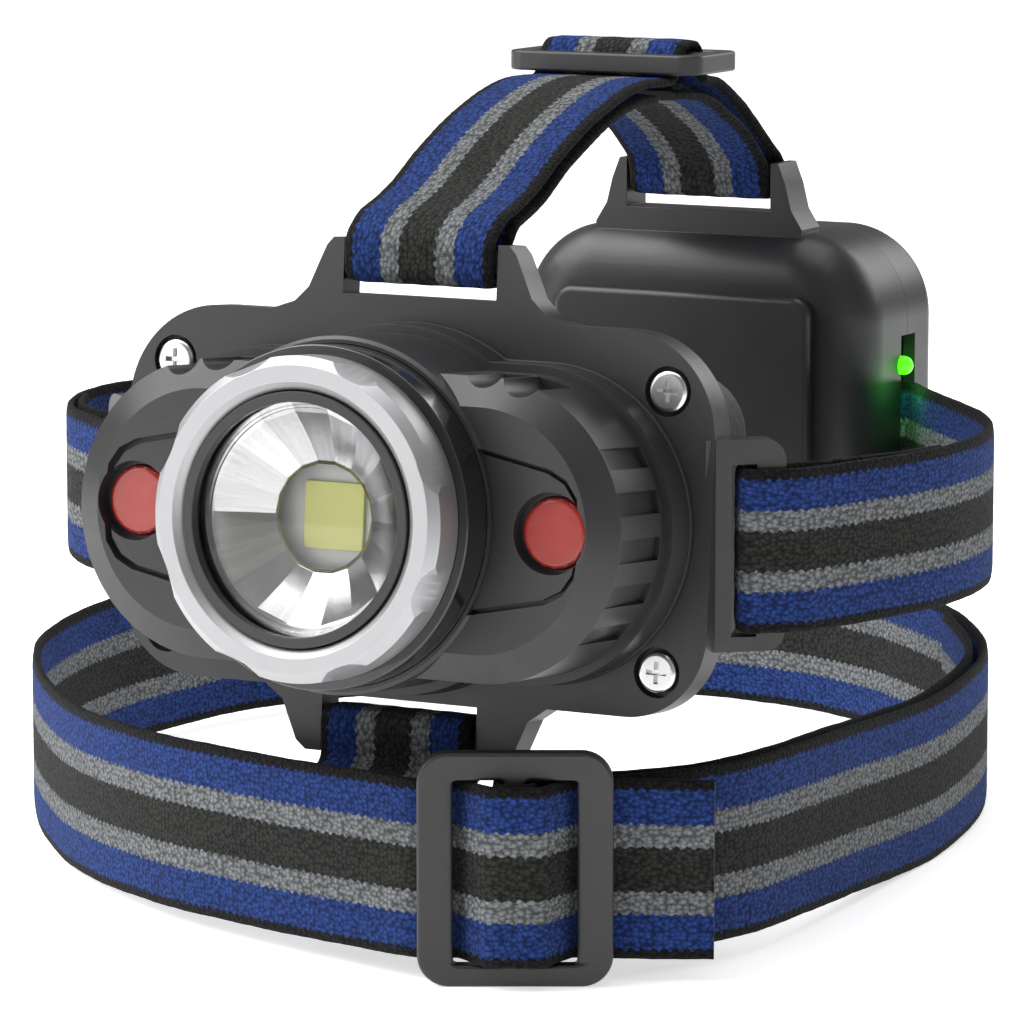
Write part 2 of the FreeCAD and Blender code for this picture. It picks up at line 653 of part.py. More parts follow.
def status_led():
    body = rod_x(LED_Y, LED_Z, 1.5, 26.0, BOX_HALF + 0.3)
    dome = Part.makeSphere(1.5, Vector(BOX_HALF + 0.3, LED_Y, LED_Z))
    return body.fuse([dome, rod_x(LED_Y, LED_Z, 1.9, 26.0, 27.0)]).removeSplitter()


def box_seal():
    ring = box_form(-BOX_WALL, 104.2, 105.8).cut(box_form(-BOX_WALL - 1.0, 103, 107))
    ring = ring.cut(strap_slots())
    window = block(-40, 40, 103, 107, STRAP_SLOT_BOTTOM - 1, STRAP_SLOT_TOP + 1)
    clear = Part.makeCompound([rod_y(x, z, 3.0, 100, 110) for x, z in box_screw_places()])
    return ring.cut(window).cut(clear)


# ---------------------------------------------------------------- straps
def lug_point(side, along, front, radius):
    angle = math.radians(LUG_ANGLE_DEG)
    x = LUG_BASE_X + along * math.cos(angle) + front * math.sin(angle)
    y = LUG_BASE_Y + along * math.sin(angle) - front * math.cos(angle)
    return side * x, y, radius


def head_band(side, inner, outer):
    layer = 0.5 * LUG_THICK + 0.25 + 0.5 * WEB_THICK
    route = inner + [lug_point(side, 9.6, -layer, 3.0), lug_point(side, 2.6, -layer, 1.4)]
    route += [lug_point(side, 2.6, layer, 1.4), lug_point(side, 10.8, layer, 8.0)] + outer
    route += [(side * 32.6, 103.4, 3.0), (side * 24.7, 103.85, 1.6)]
    route += [(side * 24.7, 107.75, 1.6), (side * 28.6, 107.75, 0.0)]
    return strip(route, WEB_THICK, in_plan(HEAD_BAND_BOTTOM), Vector(0, 0, HEAD_BAND_WIDTH))


def strap_pins():
    top = HEAD_BAND_BOTTOM + HEAD_BAND_WIDTH + 0.6
    return Part.makeCompound([rod_z(s * 26.6, 105.8, 1.0, HEAD_BAND_BOTTOM - 0.6, top) for s in (-1, 1)])


def top_strap():
    route = [(54.0, 56.4, 0.0), (47.4, 56.5, 47.7), (31.3, 53.1, 47.7), (18.2, 44.3, 32.3)]
    route += [(8.4, 41.1, 4.0), (6.35, 38.3, 3.0), (6.35, 33.3, 1.6), (1.0, 33.3, 1.6), (1.3, 39.4, 4.0)]
    route += [(5.4, 42.6, 8.0), (17.2, 46.4, 30.0), (30.4, 55.3, 50.0), (47.2, 58.8, 50.0), (60.0, 58.6, 2.4)]
    route += [(63.4, 64.0, 2.4), (68.4, 64.0, 2.4), (70.4, 58.2, 2.4), (75.0, 58.2, 12.0), (86.0, 53.2, 20.0)]
    route += [(99.35, 43.6, 6.0), (99.35, 38.6, 1.7), (93.05, 38.6, 1.7), (93.05, 43.4, 6.0)]
    route += [(85.0, 50.5, 20.0), (74.0, 55.9, 20.0), (60.0, 56.5, 0.0)]
    across = Vector(WEB_WIDTH, 0, 0)
    return strip(route, WEB_THICK, in_profile(-0.5 * WEB_WIDTH), across)


def top_slider():
    centre = 0.4
    half_x = 16.3
    frame = block(centre - half_x, centre + half_x, 57.2, 73.4, 59.8, 62.8)
    upright = [e for e in frame.Edges if e.BoundBox.ZLength > 2]
    frame = frame.makeFillet(3.0, upright)
    left, right = centre - 13.0, centre + 13.0
    frame = frame.cut(block(left, right, 59.8, 64.5, 58, 65))
    return frame.cut(block(left, right, 67.3, 71.6, 58, 65))


def hanger_strap():
    route = [(-12.4, -56.0, 0.0), (-12.4, -42.6, 3.0), (0.85, -37.0, 2.4), (0.85, -29.5, 1.6)]
    route += [(-5.05, -29.5, 1.6), (-5.05, -36.6, 2.4), (-14.5, -41.2, 3.0), (-14.5, -56.0, 0.0)]
    return strip(route, WEB_THICK, in_profile(HANGER_X - 0.5 * WEB_WIDTH), Vector(WEB_WIDTH, 0, 0))


def slider_point(along, out, radius):
    angle = math.radians(SLIDER_TURN_DEG)
    x = SLIDER_X + along * math.cos(angle) + out * math.sin(angle)
    y = SLIDER_Y + along * math.sin(angle) - out * math.cos(angle)
    return x, y, radius


def band_route():
    """The adjusting strap in plan: tail, buckle, round the loop, buckle, doubled end."""
    route = [slider_point(28.0, -1.7, 0), slider_point(15.0, -2.6, 20), slider_point(8.0, -2.6, 1.5)]
    route += [slider_point(3.4, 4.5, 1.6), slider_point(-3.4, 4.5, 1.6), slider_point(-8.0, -2.6, 1.5)]
    route += [slider_point(-14.5, -2.6, 8), (-12, -17.8, 60), (-38, -9.2, 80), (-63, 8.6, 80)]
    route += [(-88.6, 36.5, 70), (-108.3, 65.5, 60), (-117.0, 100, 60), (-110.6, 143, 50), (-85.5, 175, 50)]
    route += [(-42, 191, 45), (-9, 180, 45), (19.5, 153.6, 45), (38.2, 124.2, 50), (45, 92.6, 80)]
    route += [(47.6, 50, 120), (48.9, 16, 25), slider_point(27.5, -10.2, 14), slider_point(15, -4.6, 12)]
    route += [slider_point(2.5, -4.6, 1.2), slider_point(2.5, 2.5, 1.0), slider_point(-2.5, 2.5, 1.0)]
    route += [slider_point(-2.5, -6.8, 1.2), slider_point(14, -6.9, 10), slider_point(25.6, -12.2, 12)]
    route += [(46.5, 16.6, 24), (45.1, 49.2, 110), (42.7, 91.9, 70), (36.1, 123, 45), (18.5, 150.6, 0)]
    return route


def raised_front(shape):
    """Lifts what is in front of the bend line, more towards the front, to the buckle's slot."""
    slope = BAND_LIFT / (BAND_BEND_Y - SLIDER_Y)
    ahead = block(-200, 200, -200, BAND_BEND_Y, -100, 100)
    front = shape.common(ahead)
    shear = Matrix(1, 0, 0, 0, 0, 1, 0, 0, 0, -slope, 1, slope * BAND_BEND_Y, 0, 0, 0, 1)
    return shape.cut(ahead), front.transformGeometry(shear)


def lower_band():
    flat = strip(band_route(), WEB_THICK, in_plan(FLOOR_Z), Vector(0, 0, LOWER_BAND_WIDTH))
    behind, front = raised_front(flat)
    return behind.fuse(front)


def lower_slider():
    half = 0.5 * SLIDER_WIDTH
    frame = slab(-half, half, 0, SLIDER_HEIGHT, 4.5, -0.5 * SLIDER_THICK, 0.5 * SLIDER_THICK)
    reach = 0.5 * SLIDER_WINDOW
    for x0, x1 in ((-reach, -1.5), (1.5, reach)):
        frame = frame.cut(block(x0, x1, -5, 5, SLIDER_WINDOW_LOW, SLIDER_WINDOW_HIGH))
    frame.rotate(Vector(0, 0, 0), Vector(0, 0, 1), SLIDER_TURN_DEG)
    frame.translate(Vector(SLIDER_X, SLIDER_Y, FLOOR_Z))
    return frame


# ---------------------------------------------------------------- assembly
RIGHT_OUTER = [(64.8, 24.0, 40), (67.9, 41.0, 40), (66.7, 56.0, 30), (58.6, 74.0, 45), (41.7, 91.8, 60)]
RIGHT_INNER = [(65.6, 38.5, 0), (62.7, 24.6, 30)]
LEFT_OUTER = [(-70.6, 15.5, 14), (-77.6, 30.4, 24), (-79.5, 46.0, 26), (-73.4, 64.4, 40), (-50.9, 89.2, 60)]
LEFT_INNER = [(-75.2, 30.0, 0), (-68.8, 17.0, 12)]

pieces["front_plate"] = front_plate()
pieces["plate_screws"] = plate_screws()
pieces["housing_gasket"] = housing_gasket()
pieces["lamp_housing"] = lamp_housing()
pieces["left_button"] = button(-1)
pieces["right_button"] = button(1)
pieces["left_switch"] = switch(-1)
pieces["right_switch"] = switch(1)
pieces["switch_boards"] = switch_boards()
pieces["lamp_back_cover"] = lamp_back_cover()
pieces["lamp_lead_grommet"] = leaned(lead_grommet(-28.0, 8.1, -25.0, -23.0))
pieces["forehead_pad"] = forehead_pad()
pieces["focus_sleeve"] = focus_sleeve()
pieces["sleeve_seal"] = sleeve_seal()
pieces["bezel_ring"] = bezel_ring()
pieces["lens_retainer"] = lens_retainer()
pieces["lens_seal"] = lens_seal()
pieces["front_lens"] = front_lens()
pieces["reflector"] = reflector()
pieces["led_board"] = led_board()
pieces["led_emitter"] = led_emitter()
pieces["led_phosphor"] = led_phosphor()
pieces["heatsink"] = heatsink()
pieces["driver_board"] = driver_board()
pieces["box_inner_shell"] = box_inner_shell()
pieces["box_outer_shell"] = box_outer_shell()
pieces["box_seal"] = box_seal()
pieces["box_screws"] = box_screws()
pieces["rear_head_pad"] = rear_head_pad()
for number, cell_x in ((1, -CELL_X), (2, CELL_X)):
    pieces["battery_cell_%d" % number] = battery_cell(cell_x)
pieces["cell_holder"] = cell_holder()
pieces["contact_plates"] = contact_plates()
pieces["contact_springs"] = contact_springs()
pieces["charge_board"] = charge_board()
pieces["usb_socket"] = usb_socket()
pieces["port_flap"] = port_flap()
pieces["flap_pin"] = flap_pin()
pieces["status_led"] = status_led()
grommet_top = BOX_BOTTOM + BOX_WALL
pieces["box_lead_grommet"] = lead_grommet(BOX_GROMMET_X, 100.0, BOX_BOTTOM, grommet_top)
pieces["head_band_right"] = head_band(1, RIGHT_INNER, RIGHT_OUTER)
pieces["head_band_left"] = head_band(-1, LEFT_INNER, LEFT_OUTER)
pieces["strap_pins"] = strap_pins()
pieces["top_strap"] = top_strap()
pieces["top_slider"] = top_slider()
pieces["hanger_strap"] = hanger_strap()
pieces["lower_band"] = lower_band()
pieces["lower_slider"] = lower_slider()

whole = FreeCAD.BoundBox()
for shape in pieces.values():
    whole.add(shape.optimalBoundingBox(False))
shift = Vector(-whole.Center.x, -whole.Center.y, -whole.ZMin)
print("bounds", [round(v, 2) for v in (whole.XLength, whole.YLength, whole.ZLength)])
print("shift", [round(v, 4) for v in shift])

os.makedirs("parts", exist_ok=True)
for name, shape in pieces.items():
    placed = shape.copy()
    placed.translate(shift)
    count = len(placed.Solids)
    if not placed.isValid() or count == 0:
        print("CHECK", name, placed.isValid(), count)
    placed.exportStep(os.path.join("parts", name + ".step"))
print("nodes", len(pieces))
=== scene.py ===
import json
import math

import bmesh
import bpy
import numpy as np
from mathutils import Matrix, Vector


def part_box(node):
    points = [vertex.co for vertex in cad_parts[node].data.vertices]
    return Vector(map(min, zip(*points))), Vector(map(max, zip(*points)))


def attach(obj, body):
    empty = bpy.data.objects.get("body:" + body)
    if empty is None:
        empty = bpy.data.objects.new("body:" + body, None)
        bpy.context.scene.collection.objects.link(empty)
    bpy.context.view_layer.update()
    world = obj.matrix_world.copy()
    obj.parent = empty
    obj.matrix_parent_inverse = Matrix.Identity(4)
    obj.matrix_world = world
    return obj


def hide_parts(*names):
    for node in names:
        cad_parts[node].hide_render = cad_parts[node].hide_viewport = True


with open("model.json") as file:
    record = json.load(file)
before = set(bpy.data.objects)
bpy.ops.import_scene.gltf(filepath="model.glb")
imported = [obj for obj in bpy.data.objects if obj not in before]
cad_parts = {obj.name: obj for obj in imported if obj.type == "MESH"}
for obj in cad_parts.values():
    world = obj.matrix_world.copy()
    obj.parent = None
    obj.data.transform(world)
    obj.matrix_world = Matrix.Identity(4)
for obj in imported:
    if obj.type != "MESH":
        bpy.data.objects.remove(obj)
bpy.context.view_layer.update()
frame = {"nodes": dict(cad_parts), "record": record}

MM = 0.001

# The lamp's places, in millimetres from the middle of its mounting plate.
LEAN = math.radians(-4.73)
FLOOR_Z = -62.7
LAMP_FORWARD = 1.5
HANGER_X = -0.8
WEB_WIDTH = 24.4
HEAD_BAND_WIDTH = 23.4
LOWER_BAND_WIDTH = 25.8
LENS_AXIS_Z = 0.64
LUG_ANGLE = math.radians(38.0)
LUG_BASE_X, LUG_BASE_Y = 48.2, 2.4
SLIDER_TURN = math.radians(27.8)
SLIDER_X, SLIDER_Y = 27.35, -21.0
HEAD_PAD_FRONT = 86.0
FACETS = 18

# The lamp's frame in the scene: upright, and leaned with the lamp.
pad_low, pad_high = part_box("rear_head_pad")
SHIFT = Vector(((pad_low.x + pad_high.x) / 2, pad_low.y - HEAD_PAD_FRONT * MM, -FLOOR_Z * MM))
STRAIGHT = Matrix.Translation(SHIFT) @ Matrix.Scale(MM, 4)
LAMP_PLACE = SHIFT + Vector((0, -LAMP_FORWARD * MM, 0))
LEANED = Matrix.Translation(LAMP_PLACE) @ Matrix.Rotation(LEAN, 4, "X") @ Matrix.Scale(MM, 4)

body_of_node = {n: b for b, members in frame["record"]["behaviour"]["bodies"].items() for n in members}
slot_of_node = {s["node"]: s["material_slot"] for s in frame["record"]["subparts"]}


# ---------------------------------------------------------------- materials
class Shader:
    """One node material, built by short calls."""

    def __init__(self, name, color, roughness=0.5, metallic=0.0):
        self.material = bpy.data.materials.new(name)
        self.material.use_nodes = True
        self.tree = self.material.node_tree
        self.bsdf = next(n for n in self.tree.nodes if n.type == "BSDF_PRINCIPLED")
        self.set(self.bsdf, "Base Color", (*color, 1.0))
        self.set(self.bsdf, "Roughness", roughness)
        self.set(self.bsdf, "Metallic", metallic)

    def set(self, node, socket, value):
        node.inputs[socket].default_value = value

    def add(self, kind, inputs=None, **settings):
        node = self.tree.nodes.new("ShaderNode" + kind)
        for key, value in settings.items():
            setattr(node, key, value)
        for key, value in (inputs or {}).items():
            if isinstance(value, bpy.types.NodeSocket):
                self.tree.links.new(value, node.inputs[key])
            else:
                node.inputs[key].default_value = value
        return node

    def link(self, output, socket):
        self.tree.links.new(output, self.bsdf.inputs[socket])

    def math(self, operation, a, b=0.0, c=0.0):
        return self.add("Math", {0: a, 1: b, 2: c}, operation=operation).outputs[0]

    def place(self):
        return self.add("TexCoord").outputs["Object"]

    def scaled(self, vector, *scale):
        return self.add("Mapping", {"Vector": vector, "Scale": scale}).outputs["Vector"]

    def noise(self, scale, vector=None, detail=4.0):
        vector = vector or self.place()
        inputs = {"Vector": vector, "Scale": scale, "Detail": detail, "Roughness": 0.6}
        return self.add("TexNoise", inputs).outputs["Fac"]

    def ramp(self, value, stops, smooth=True):
        node = self.add("ValToRGB", {"Fac": value})
        ramp = node.color_ramp
        ramp.interpolation = "LINEAR" if smooth else "CONSTANT"
        while len(ramp.elements) < len(stops):
            ramp.elements.new(0.5)
        for element, (position, color) in zip(ramp.elements, stops):
            element.position = position
            element.color = (*color, 1.0) if len(color) == 3 else color
        return node.outputs["Color"]

    def span(self, value, low, high, start=0.0, end=1.0):
        """Values from start to end become low to high."""
        inputs = {"Value": value, "From Min": start, "From Max": end, "To Min": low, "To Max": high}
        return self.add("MapRange", inputs).outputs["Result"]

    def bump(self, height, strength, distance):
        inputs = {"Height": height, "Strength": strength, "Distance": distance}
        return self.add("Bump", inputs).outputs["Normal"]


def tint(color, factor):
    return tuple(min(1.0, c * factor) for c in color)


def moulded(name, color, roughness, grain=0.35, worn=1.35, coat=0.0):
    """Moulded plastic: fine spark-eroded grain, slight tone drift, paler edges."""
    s = Shader(name, color, roughness)
    drift = s.noise(45.0)
    fine = s.noise(2600.0, detail=3.0)
    tone = s.ramp(drift, [(0.3, tint(color, 0.9)), (0.7, tint(color, 1.1))])
    edge = s.add("NewGeometry").outputs["Pointiness"]
    convex = s.span(edge, 0.0, 1.0, start=0.51, end=0.56)
    rubbed = s.math("MULTIPLY", convex, s.span(s.noise(320.0), 0.2, 0.9))
    mixed = s.add("MixRGB", {"Fac": rubbed, "Color1": tone, "Color2": (*tint(color, worn), 1.0)})
    s.link(mixed.outputs["Color"], "Base Color")
    s.link(s.span(s.noise(150.0), roughness - 0.06, roughness + 0.07), "Roughness")
    s.link(s.bump(fine, grain, 0.00004), "Normal")
    if coat:
        s.set(s.bsdf, "Coat Weight", coat)
        s.set(s.bsdf, "Coat Roughness", 0.12)
    return s.material


def metal(name, color, roughness):
    """Brushed metal: fine streaks that run upwards."""
    s = Shader(name, color, roughness, 1.0)
    streaks = s.noise(1.0, s.scaled(s.place(), 900.0, 900.0, 60.0), detail=6.0)
    s.link(s.span(streaks, roughness - 0.06, roughness + 0.08), "Roughness")
    s.link(s.ramp(s.noise(90.0), [(0.3, tint(color, 0.93)), (0.7, tint(color, 1.04))]), "Base Color")
    s.link(s.bump(streaks, 0.25, 0.00002), "Normal")
    return s.material


def about_lens_axis(s):
    """A point's place in the lamp: across it, along the lens axis, and up."""
    centre = LEANED @ Vector((0, 0, LENS_AXIS_Z))
    upright = s.add("VectorMath", {0: s.place(), 1: centre}, operation="SUBTRACT").outputs[0]
    turned = s.add("VectorRotate", {"Vector": upright, "Angle": -LEAN}, rotation_type="X_AXIS").outputs[0]
    split = s.add("SeparateXYZ", {"Vector": turned})
    return split.outputs["X"], split.outputs["Y"], split.outputs["Z"]


def turned_metal(name, color, roughness):
    """Metal turned on a lathe about the lamp's axis: fine rings round it."""
    s = Shader(name, color, roughness, 1.0)
    across, along, up = about_lens_axis(s)
    square = s.math("MULTIPLY_ADD", across, across, s.math("MULTIPLY", up, up))
    rings = s.add("CombineXYZ", {"X": s.math("SQRT", square), "Y": along})
    cuts = s.noise(4200.0, rings.outputs["Vector"], detail=4.0)
    s.link(s.span(cuts, roughness - 0.05, roughness + 0.09), "Roughness")
    s.link(s.ramp(s.noise(60.0), [(0.3, tint(color, 0.95)), (0.7, tint(color, 1.03))]), "Base Color")
    s.link(s.bump(cuts, 0.18, 0.00002), "Normal")
    return s.material


STRIPE_GREY_FROM = 0.25
STRIPE_BLUE_FROM = 0.505
SELVAGE_WIDTH = 1.25
KNIT_PITCH = 0.98
BLUE = (0.018, 0.045, 0.184)
GREY = (0.172, 0.182, 0.188)
CHARCOAL = (0.027, 0.027, 0.025)
SELVAGE = (0.010, 0.010, 0.011)


def webbing(name, width):
    """Knitted elastic: colour stripes along it, built of small rounded stitches."""
    s = Shader(name, BLUE, 0.9)
    strap = s.add("UVMap", uv_map="strap").outputs["UV"]
    split = s.add("SeparateXYZ", {"Vector": strap})
    along, across = split.outputs["X"], split.outputs["Y"]
    half = width / 2

    # The stripes' borders zigzag from stitch to stitch.
    speckle = s.noise(1.0, s.scaled(strap, 1.9, 2.3, 1.0), detail=2.0)
    zigzag = s.math("SUBTRACT", s.math("PINGPONG", along, 0.8), 0.4)
    wander = s.math("MULTIPLY", s.math("SUBTRACT", speckle, 0.5), 0.8)
    shifted = s.math("ADD", s.math("MULTIPLY_ADD", zigzag, 0.6, across), wander)
    place = s.math("DIVIDE", s.math("ABSOLUTE", s.math("SUBTRACT", shifted, half)), half)
    stripe_starts = [(0.0, CHARCOAL), (STRIPE_GREY_FROM, GREY), (STRIPE_BLUE_FROM, BLUE)]
    stripe_starts.append((1.0 - SELVAGE_WIDTH / half, SELVAGE))
    stripes = s.ramp(place, stripe_starts, smooth=False)

    # Each stitch is a small cell with its own lightness, with painted shadow in the gaps between cells,
    # and loose fibres over it.
    cells = {"Vector": s.scaled(strap, 1.2, 1.5, 1.0), "Scale": 1.0, "Randomness": 0.85}
    yarn = s.add("TexVoronoi", cells, voronoi_dimensions="2D")
    lightness = s.add("SeparateColor", {"Color": yarn.outputs["Color"]}).outputs["Red"]
    # The gaps between cells are a dip in the relief below, and painted shadow in the colour.
    gap_relief_and_shadow = s.span(yarn.outputs["Distance"], 1.12, 0.45, start=0.22, end=0.62)
    fleck = s.noise(1.0, s.scaled(strap, 4.2, 3.6, 1.0), detail=3.0)
    level = s.math("MULTIPLY", s.span(lightness, 0.72, 1.22), gap_relief_and_shadow)
    level = s.math("ADD", level, s.math("MULTIPLY", s.math("SUBTRACT", fleck, 0.5), 1.3))
    broad = s.span(s.noise(0.06, strap, detail=2.0), 0.88, 1.12)
    level = s.math("MAXIMUM", s.math("MULTIPLY", level, broad), 0.22)
    shaded = s.add("VectorMath", {0: stripes, "Scale": level}, operation="SCALE").outputs[0]
    s.link(shaded, "Base Color")

    # The knit's relief: slanting stitches in rows, over the rounded cells.
    wale = s.math("PINGPONG", across, 0.42)
    slant = s.math("MULTIPLY_ADD", wale, 1.1, along)
    stitch = s.math("SINE", s.math("MULTIPLY", slant, 2 * math.pi / KNIT_PITCH))
    knit = s.math("MULTIPLY_ADD", stitch, 0.18, s.math("MULTIPLY", gap_relief_and_shadow, 1.3))
    height = s.math("ADD", knit, s.math("MULTIPLY", fleck, 1.6))
    s.link(s.bump(height, 0.8, 0.00018), "Normal")
    s.set(s.bsdf, "Sheen Weight", 0.03)
    s.set(s.bsdf, "Sheen Roughness", 0.5)
    s.set(s.bsdf, "Specular IOR Level", 0.12)
    return s.material


def rubber(name, color):
    roughness = 0.7
    s = Shader(name, color, roughness)
    grain = s.noise(1900.0)
    s.link(s.ramp(s.noise(70.0), [(0.3, tint(color, 0.85)), (0.7, tint(color, 1.2))]), "Base Color")
    s.link(s.span(grain, roughness - 0.08, roughness + 0.08), "Roughness")
    s.link(s.bump(grain, 0.3, 0.00005), "Normal")
    return s.material


def foam(name, color):
    """Closed-cell foam: small open pores in a soft skin, with painted shadow inside each pore."""
    s = Shader(name, color, 0.92)
    pores = s.add("TexVoronoi", {"Vector": s.place(), "Scale": 1100.0}).outputs["Distance"]
    # Painted shadow: the colour falls towards the middle of each pore.
    pore_painted_shadow = s.span(pores, 0.0, 1.0, start=0.05, end=0.35)
    s.link(s.ramp(pore_painted_shadow, [(0.0, tint(color, 0.45)), (1.0, tint(color, 1.15))]), "Base Color")
    s.link(s.bump(pores, 0.6, 0.00012), "Normal")
    s.set(s.bsdf, "Sheen Weight", 0.12)
    return s.material


def clear_lens(name):
    s = Shader(name, (1.0, 1.0, 1.0), 0.02)
    s.set(s.bsdf, "Transmission Weight", 1.0)
    s.set(s.bsdf, "IOR", 1.45)
    s.link(s.span(s.noise(60.0), 0.0, 0.03), "Roughness")
    return s.material


def chrome_bowl(name):
    """Bright metal pressed in facets, with reflections painted into its colour: each takes its own
    painted tone, with faint painted streaks along it.
    """
    s = Shader(name, (0.80, 0.80, 0.81), 0.16, 1.0)
    across, along, up = about_lens_axis(s)
    # Painted reflections: a random lightness for each of the facets, and streaks along them, set the base
    # colour.
    turn = s.math("MULTIPLY", s.math("ARCTAN2", up, across), FACETS / (2 * math.pi))
    facet_painted_lightness = s.add("TexWhiteNoise", {"W": s.math("FLOOR", turn)}, noise_dimensions="1D")
    fine = s.add("CombineXYZ", {"X": s.math("MULTIPLY", turn, 5.0), "Y": s.math("MULTIPLY", along, 90.0)})
    streaks = s.noise(1.0, fine.outputs["Vector"], detail=5.0)
    painted_reflection_tone = s.math("MULTIPLY", s.span(facet_painted_lightness.outputs["Value"], 0.5, 1.0), s.span(streaks, 0.72, 1.18))
    s.link(s.ramp(painted_reflection_tone, [(0.0, (0.0, 0.0, 0.0)), (1.0, (0.72, 0.72, 0.73))]), "Base Color")
    peel = s.noise(420.0, detail=2.0)
    s.link(s.span(peel, 0.13, 0.24), "Roughness")
    s.link(s.bump(peel, 0.12, 0.00004), "Normal")
    return s.material


def red_cap(name):
    s = Shader(name, (0.35, 0.026, 0.018), 0.25)
    s.set(s.bsdf, "Subsurface Weight", 0.35)
    s.set(s.bsdf, "Subsurface Radius", (0.9, 0.12, 0.08))
    s.set(s.bsdf, "Subsurface Scale", 0.002)
    s.set(s.bsdf, "Coat Weight", 0.35)
    s.set(s.bsdf, "Coat Roughness", 0.08)
    cloud = [(0.3, (0.32, 0.022, 0.015)), (0.7, (0.38, 0.032, 0.022))]
    s.link(s.ramp(s.noise(380.0), cloud), "Base Color")
    s.link(s.bump(s.noise(900.0), 0.08, 0.00003), "Normal")
    return s.material


def phosphor(name):
    s = Shader(name, (0.92, 0.92, 0.32), 0.45)
    fine = s.noise(3800.0, detail=5.0)
    s.link(s.ramp(fine, [(0.3, (0.90, 0.90, 0.29)), (0.7, (0.97, 0.97, 0.34))]), "Base Color")
    s.link(s.bump(fine, 0.25, 0.00003), "Normal")
    s.set(s.bsdf, "Coat Weight", 0.5)
    s.set(s.bsdf, "Coat Roughness", 0.15)
    return s.material


def lit_green(name):
    s = Shader(name, (0.05, 0.60, 0.02), 0.3)
    s.set(s.bsdf, "Emission Color", (0.09, 1.0, 0.003, 1.0))
    s.set(s.bsdf, "Emission Strength", 1.2)
    s.link(s.bump(s.noise(1500.0), 0.1, 0.00002), "Normal")
    return s.material


def circuit(name):
    s = Shader(name, (0.02, 0.13, 0.05), 0.38)
    tracks = s.add("TexBrick", {"Vector": s.place(), "Scale": 330.0, "Mortar Size": 0.04,
                                "Color1": (0.02, 0.13, 0.05, 1), "Color2": (0.015, 0.10, 0.04, 1),
                                "Mortar": (0.05, 0.22, 0.09, 1)})
    s.link(tracks.outputs["Color"], "Base Color")
    s.link(s.bump(tracks.outputs["Fac"], 0.3, 0.00003), "Normal")
    return s.material


def wrap(name, color):
    s = Shader(name, color, 0.25)
    s.link(s.ramp(s.noise(160.0), [(0.3, tint(color, 0.85)), (0.7, tint(color, 1.15))]), "Base Color")
    s.link(s.bump(s.noise(700.0), 0.15, 0.00004), "Normal")
    return s.material


looks = {
    "plastic_dark": moulded("dark_plastic", (0.022, 0.022, 0.023), 0.37),
    "plastic_gloss": moulded("black_barrel", (0.012, 0.012, 0.013), 0.20, grain=0.04, worn=1.6, coat=0.6),
    "aluminium_satin": turned_metal("satin_aluminium", (0.45, 0.45, 0.46), 0.48),
    "screw_steel": metal("plated_steel", (0.72, 0.72, 0.72), 0.24),
    "webbing": webbing("striped_webbing", WEB_WIDTH),
    "lens_clear": clear_lens("clear_lens"),
    "reflector_chrome": chrome_bowl("chrome_facets"),
    "button_red": red_cap("red_translucent"),
    "phosphor_yellow": phosphor("yellow_phosphor"),
    "ceramic_white": moulded("white_ceramic", (0.90, 0.90, 0.89), 0.30, grain=0.1, worn=1.02),
    "circuit_green": circuit("green_board"),
    "rubber_black": rubber("black_rubber", (0.018, 0.018, 0.019)),
    "foam_dark": foam("dark_foam", (0.045, 0.045, 0.048)),
    "cell_wrap": wrap("cell_sleeve", (0.03, 0.11, 0.34)),
    "led_green": lit_green("green_indicator"),
    "contact_metal": metal("plated_contact", (0.78, 0.62, 0.34), 0.28),
}
head_webbing = webbing("striped_webbing_stretched", HEAD_BAND_WIDTH)
band_webbing = webbing("striped_webbing_loose", LOWER_BAND_WIDTH)


# ---------------------------------------------------------------- pieces
def settle(piece, node):
    """Puts a finished piece in the place of a CAD node: it joins the same body, and the node is hidden.
    """
    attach(piece, body_of_node[node])
    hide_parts(node)
    return piece


def object_from(name, vertices, faces, material):
    mesh = bpy.data.meshes.new(name)
    mesh.from_pydata([tuple(v) for v in vertices], [], [tuple(f) for f in faces])
    mesh.validate()
    mesh.update()
    piece = bpy.data.objects.new(name, mesh)
    bpy.context.scene.collection.objects.link(piece)
    mesh.materials.append(material)
    mesh.polygons.foreach_set("use_smooth", [True] * len(mesh.polygons))
    return piece


def apply_modifiers(piece):
    depsgraph = bpy.context.evaluated_depsgraph_get()
    finished = bpy.data.meshes.new_from_object(piece.evaluated_get(depsgraph))
    old = piece.data
    piece.modifiers.clear()
    piece.data = finished
    bpy.data.meshes.remove(old)
    return piece


WELD_DISTANCE = 2e-6


def softened(node, width, segments=3, angle=28.0, material=None):
    """A copy of a CAD node's shape with every crisp edge rounded over."""
    source = frame["nodes"][node].data
    built = bmesh.new()
    corners = [built.verts.new(v.co) for v in source.vertices]
    for polygon in source.polygons:
        try:
            built.faces.new([corners[i] for i in polygon.vertices])
        except ValueError:
            pass
    bmesh.ops.remove_doubles(built, verts=built.verts[:], dist=WELD_DISTANCE)
    bmesh.ops.dissolve_limit(built, angle_limit=math.radians(0.6), verts=built.verts[:],
                             edges=built.edges[:], delimit={"NORMAL"})
    bmesh.ops.recalc_face_normals(built, faces=built.faces[:])
    mesh = bpy.data.meshes.new(node + "_moulded")
    built.to_mesh(mesh)
    built.free()
    piece = bpy.data.objects.new(mesh.name, mesh)
    bpy.context.scene.collection.objects.link(piece)
    mesh.materials.append(material or looks[slot_of_node[node]])
    mesh.polygons.foreach_set("use_smooth", [True] * len(mesh.polygons))
    bevel = piece.modifiers.new("edges", "BEVEL")
    bevel.width = width * MM
    bevel.segments = segments
    bevel.limit_method = "ANGLE"
    bevel.angle_limit = math.radians(angle)
    bevel.harden_normals = True
    bevel.miter_outer = "MITER_ARC"
    weights = piece.modifiers.new("weights", "WEIGHTED_NORMAL")
    weights.keep_sharp = True
    apply_modifiers(piece)
    return settle(piece, node)


